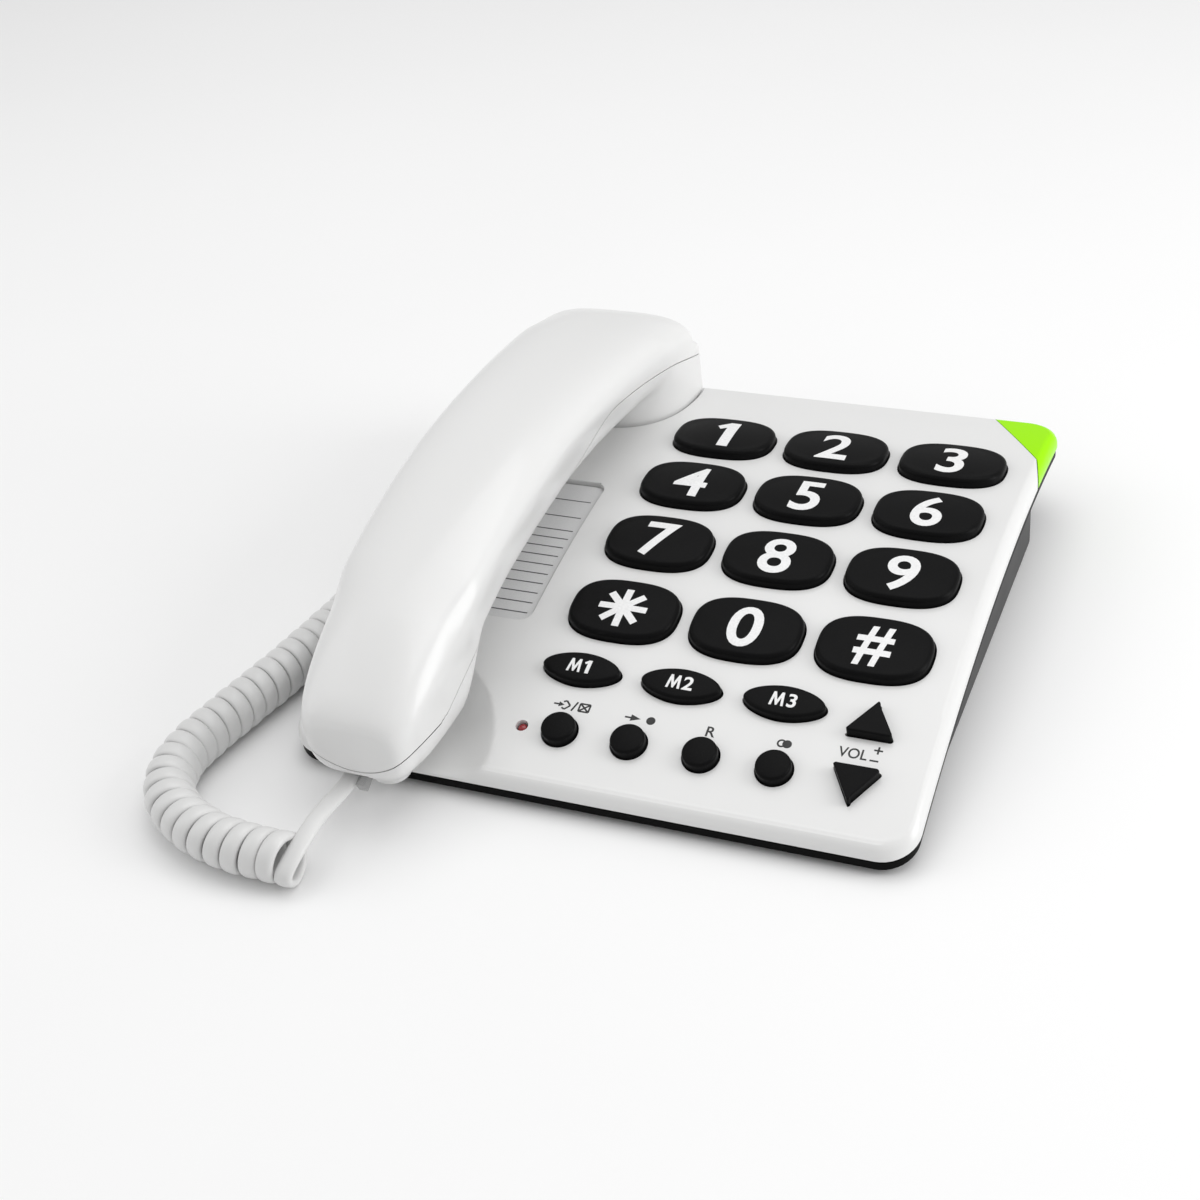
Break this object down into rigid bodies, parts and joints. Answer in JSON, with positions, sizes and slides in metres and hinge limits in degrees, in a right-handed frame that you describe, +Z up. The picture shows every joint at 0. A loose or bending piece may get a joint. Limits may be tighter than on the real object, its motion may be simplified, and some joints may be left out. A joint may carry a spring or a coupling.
{
  "type": "corded desk telephone",
  "caption": "Corded desk telephone with large sprung keys, a curved panel, a cradle with hook plunger, and a lift-off handset on a coiled cord.",
  "frame": {"origin": "centre of the whole object's box in plan, at the level of the rubber feet's undersides", "axes": "+X to the user's right, +Y away from the user towards the raised rear edge, +Z up from the desk"},
  "size_m": [0.2153, 0.243, 0.0687],
  "materials": {
    "white_plastic": "semi-gloss moulded white",
    "black_plastic": "fine matt black",
    "key_plastic": "satin black",
    "green_plastic": "glossy lime green",
    "clear_plastic": "clear polycarbonate",
    "card_stock": "printed grey card",
    "red_lens": "dark red lens",
    "foot_rubber": "matt rubber",
    "silicone": "translucent grey silicone",
    "board": "green solder mask",
    "steel": "zinc-plated steel",
    "component_plastic": "moulded component plastic",
    "cord_jacket": "smooth flexible white jacket"
  },
  "bodies": {
    "base": {"lower_casing": "black_plastic", "upper_casing": "white_plastic", "corner_cap": "green_plastic", "card_window": "clear_plastic", "index_card": "card_stock", "circuit_board": "board", "key_mat": "silicone", "ringer_speaker": "component_plastic", "ballast_plate": "steel", "hook_switch": "component_plastic", "line_jack": "component_plastic", "handset_cord_jack": "component_plastic", "base_plug": "clear_plastic", "status_led": "red_lens", "coil_cord": "cord_jacket", "rubber_foot_front_left": "foot_rubber", "rubber_foot_front_right": "foot_rubber", "rubber_foot_rear_left": "foot_rubber", "rubber_foot_rear_right": "foot_rubber", "casing_screw_front_left": "steel", "casing_screw_front_right": "steel", "casing_screw_rear_left": "steel", "casing_screw_rear_right": "steel"},
    "handset": {"handset_back_shell": "white_plastic", "handset_front_shell": "white_plastic", "receiver_capsule": "component_plastic", "microphone": "steel", "handset_weight": "steel", "handset_jack": "component_plastic", "handset_plug": "clear_plastic", "handset_screw_upper": "steel", "handset_screw_lower": "steel"},
    "hook_plunger": {"hook_plunger": "white_plastic"},
    "ringer_switch": {"ringer_switch": "white_plastic"},
    "key_1": {"key_1": "key_plastic"},
    "key_2": {"key_2": "key_plastic"},
    "key_3": {"key_3": "key_plastic"},
    "key_4": {"key_4": "key_plastic"},
    "key_5": {"key_5": "key_plastic"},
    "key_6": {"key_6": "key_plastic"},
    "key_7": {"key_7": "key_plastic"},
    "key_8": {"key_8": "key_plastic"},
    "key_9": {"key_9": "key_plastic"},
    "key_star": {"key_star": "key_plastic"},
    "key_0": {"key_0": "key_plastic"},
    "key_hash": {"key_hash": "key_plastic"},
    "memory_key_1": {"memory_key_1": "key_plastic"},
    "memory_key_2": {"memory_key_2": "key_plastic"},
    "memory_key_3": {"memory_key_3": "key_plastic"},
    "function_key_store": {"function_key_store": "key_plastic"},
    "function_key_redial": {"function_key_redial": "key_plastic"},
    "function_key_recall": {"function_key_recall": "key_plastic"},
    "function_key_mute": {"function_key_mute": "key_plastic"},
    "volume_up_key": {"volume_up_key": "key_plastic"},
    "volume_down_key": {"volume_down_key": "key_plastic"}
  },
  "joints": [
    {"name": "handset_lift", "type": "slide", "parent": "base", "child": "handset", "axis": [0, 0, 1], "range_m": [0, 0.09], "deforming": ["coil_cord"]},
    {"name": "hook_plunger_rise", "type": "slide", "parent": "base", "child": "hook_plunger", "axis": [0, 0, 1], "range_m": [0, 0.0041]},
    {"name": "ringer_switch_slide", "type": "slide", "parent": "base", "child": "ringer_switch", "axis": [1, 0, 0], "range_m": [-0.004, 0.004]},
    {"name": "key_1_press", "type": "slide", "parent": "base", "child": "key_1", "axis": [0, -0.0497, -0.9988], "range_m": [0, 0.0015], "stiffness_N_per_m": 500, "springref_m": -0.0012},
    {"name": "key_2_press", "type": "slide", "parent": "base", "child": "key_2", "axis": [0, -0.0497, -0.9988], "range_m": [0, 0.0015], "stiffness_N_per_m": 500, "springref_m": -0.0012},
    {"name": "key_3_press", "type": "slide", "parent": "base", "child": "key_3", "axis": [0, -0.0497, -0.9988], "range_m": [0, 0.0015], "stiffness_N_per_m": 500, "springref_m": -0.0012},
    {"name": "key_4_press", "type": "slide", "parent": "base", "child": "key_4", "axis": [0, 0.03, -0.9996], "range_m": [0, 0.0015], "stiffness_N_per_m": 500, "springref_m": -0.0012},
    {"name": "key_5_press", "type": "slide", "parent": "base", "child": "key_5", "axis": [0, 0.03, -0.9996], "range_m": [0, 0.0015], "stiffness_N_per_m": 500, "springref_m": -0.0012},
    {"name": "key_6_press", "type": "slide", "parent": "base", "child": "key_6", "axis": [0, 0.03, -0.9996], "range_m": [0, 0.0015], "stiffness_N_per_m": 500, "springref_m": -0.0012},
    {"name": "key_7_press", "type": "slide", "parent": "base", "child": "key_7", "axis": [0, 0.1095, -0.994], "range_m": [0, 0.0015], "stiffness_N_per_m": 500, "springref_m": -0.0012},
    {"name": "key_8_press", "type": "slide", "parent": "base", "child": "key_8", "axis": [0, 0.1095, -0.994], "range_m": [0, 0.0015], "stiffness_N_per_m": 500, "springref_m": -0.0012},
    {"name": "key_9_press", "type": "slide", "parent": "base", "child": "key_9", "axis": [0, 0.1095, -0.994], "range_m": [0, 0.0015], "stiffness_N_per_m": 500, "springref_m": -0.0012},
    {"name": "key_star_press", "type": "slide", "parent": "base", "child": "key_star", "axis": [0, 0.1883, -0.9821], "range_m": [0, 0.0015], "stiffness_N_per_m": 500, "springref_m": -0.0012},
    {"name": "key_0_press", "type": "slide", "parent": "base", "child": "key_0", "axis": [0, 0.1883, -0.9821], "range_m": [0, 0.0015], "stiffness_N_per_m": 500, "springref_m": -0.0012},
    {"name": "key_hash_press", "type": "slide", "parent": "base", "child": "key_hash", "axis": [0, 0.1883, -0.9821], "range_m": [0, 0.0015], "stiffness_N_per_m": 500, "springref_m": -0.0012},
    {"name": "memory_key_1_press", "type": "slide", "parent": "base", "child": "memory_key_1", "axis": [0, 0.2492, -0.9685], "range_m": [0, 0.0015], "stiffness_N_per_m": 500, "springref_m": -0.0012},
    {"name": "memory_key_2_press", "type": "slide", "parent": "base", "child": "memory_key_2", "axis": [0, 0.2492, -0.9685], "range_m": [0, 0.0015], "stiffness_N_per_m": 500, "springref_m": -0.0012},
    {"name": "memory_key_3_press", "type": "slide", "parent": "base", "child": "memory_key_3", "axis": [0, 0.2492, -0.9685], "range_m": [0, 0.0015], "stiffness_N_per_m": 500, "springref_m": -0.0012},
    {"name": "function_key_store_press", "type": "slide", "parent": "base", "child": "function_key_store", "axis": [0, 0.3025, -0.9532], "range_m": [0, 0.0015], "stiffness_N_per_m": 500, "springref_m": -0.0012},
    {"name": "function_key_redial_press", "type": "slide", "parent": "base", "child": "function_key_redial", "axis": [0, 0.3025, -0.9532], "range_m": [0, 0.0015], "stiffness_N_per_m": 500, "springref_m": -0.0012},
    {"name": "function_key_recall_press", "type": "slide", "parent": "base", "child": "function_key_recall", "axis": [0, 0.3025, -0.9532], "range_m": [0, 0.0015], "stiffness_N_per_m": 500, "springref_m": -0.0012},
    {"name": "function_key_mute_press", "type": "slide", "parent": "base", "child": "function_key_mute", "axis": [0, 0.3025, -0.9532], "range_m": [0, 0.0015], "stiffness_N_per_m": 500, "springref_m": -0.0012},
    {"name": "volume_up_key_press", "type": "slide", "parent": "base", "child": "volume_up_key", "axis": [0, 0.2512, -0.9679], "range_m": [0, 0.0015], "stiffness_N_per_m": 500, "springref_m": -0.0012},
    {"name": "volume_down_key_press", "type": "slide", "parent": "base", "child": "volume_down_key", "axis": [0, 0.3053, -0.9523], "range_m": [0, 0.0015], "stiffness_N_per_m": 500, "springref_m": -0.0012}
  ],
  "couplings": [
    {"joint": "hook_plunger_rise", "follows": "handset_lift", "ratio": 0.0444}
  ]
}
